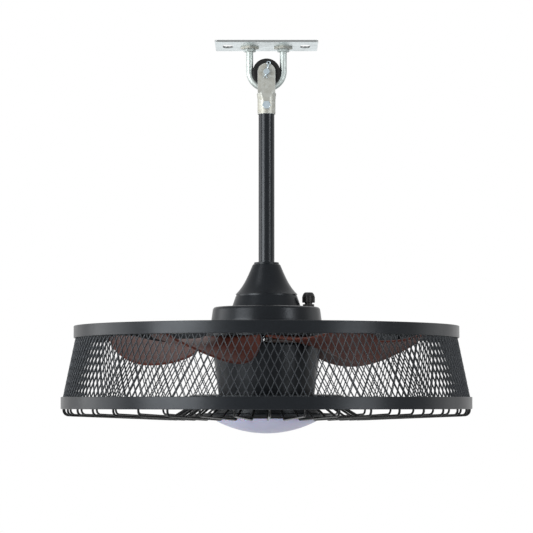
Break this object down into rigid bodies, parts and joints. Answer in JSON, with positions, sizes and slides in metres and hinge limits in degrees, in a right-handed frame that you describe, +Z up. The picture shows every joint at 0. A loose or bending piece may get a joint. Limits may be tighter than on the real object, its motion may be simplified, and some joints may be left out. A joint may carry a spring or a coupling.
{
  "type": "caged ceiling fan",
  "caption": "Ceiling fan with a light, hung from a hook plate by a roller shackle and downrod, its blades inside a drum cage of expanded metal and guard wires",
  "frame": {"origin": "Centre of the ceiling plate's upper face, which lies against the ceiling.", "axes": "+Z is up, into the ceiling, and is the fan's axis. +X runs along the hook plate, from one fixing slot to the other. The picture looks along +Y from the front."},
  "size_m": [0.5569, 0.557, 0.5314],
  "materials": {
    "zinc": "zinc-plated pressed steel, satin",
    "bush_bronze": "sintered bronze",
    "roller_rubber": "matte black rubber",
    "graphite_paint": "satin graphite enamel",
    "wire_paint": "satin black enamel",
    "blade_brown": "brown-red moulded blades, satin",
    "gland_black": "black nylon",
    "seal_rubber": "soft rubber",
    "machined_steel": "machined steel",
    "core_steel": "laminated steel",
    "copper": "enamelled copper wire",
    "magnet": "ferrite",
    "board_white": "white solder mask",
    "chip_yellow": "phosphor",
    "driver_case": "white polycarbonate",
    "diffuser_white": "frosted white acrylic"
  },
  "bodies": {
    "bracket": {"ceiling_plate": "zinc", "u_bolt": "zinc", "square_washers": "zinc", "leg_nuts": "zinc"},
    "roller": {"hanger_roller": "roller_rubber", "roller_bush": "bush_bronze"},
    "hanger": {"shackle": "zinc", "clevis_pin": "zinc", "clevis_split_pin": "zinc", "upper_rod_bolt": "zinc", "upper_rod_nut": "zinc", "downrod": "graphite_paint", "rod_collar": "graphite_paint", "canopy_cone": "graphite_paint", "neck_cover": "graphite_paint", "rod_coupling": "machined_steel", "lower_rod_bolt": "zinc", "lower_rod_nut": "zinc", "coupling_screws": "zinc", "motor_housing": "graphite_paint", "gland_body": "gland_black", "gland_locknut": "gland_black", "gland_seal": "seal_rubber", "gland_nut": "gland_black", "motor_shaft": "machined_steel", "shaft_nut": "zinc", "stator_core": "core_steel", "stator_windings": "copper", "bearing_inner_races": "machined_steel", "cage_spider": "graphite_paint", "spider_screws": "zinc", "top_band": "graphite_paint", "cage_mesh": "graphite_paint", "bottom_band": "graphite_paint", "guard_wires": "wire_paint", "guard_hoop": "wire_paint", "guard_plate": "graphite_paint", "lamp_housing": "graphite_paint", "lamp_base": "graphite_paint", "lamp_screws": "zinc", "lamp_trim": "graphite_paint", "led_board": "board_white", "led_chips": "chip_yellow", "led_driver": "driver_case", "remote_receiver": "gland_black", "diffuser": "diffuser_white"},
    "rotor": {"bearing_balls": "machined_steel", "bearing_outer_races": "machined_steel", "rotor_bell": "machined_steel", "rotor_magnets": "magnet", "blade_hub": "graphite_paint", "blade_1": "blade_brown", "blade_2": "blade_brown", "blade_3": "blade_brown", "blade_4": "blade_brown", "blade_5": "blade_brown", "blade_screws": "zinc"}
  },
  "joints": [
    {"name": "fore_aft_sway", "type": "hinge", "parent": "bracket", "child": "roller", "pos_m": [0, 0, -0.06025], "axis": [1, 0, 0], "range_deg": [-5, 5]},
    {"name": "side_sway", "type": "hinge", "parent": "roller", "child": "hanger", "pos_m": [0, 0, -0.0392], "axis": [0, 1, 0], "range_deg": [-20, 20]},
    {"name": "rotor_spin", "type": "hinge", "parent": "hanger", "child": "rotor", "pos_m": [0, 0, -0.38], "axis": [0, 0, 1], "continuous": true}
  ]
}
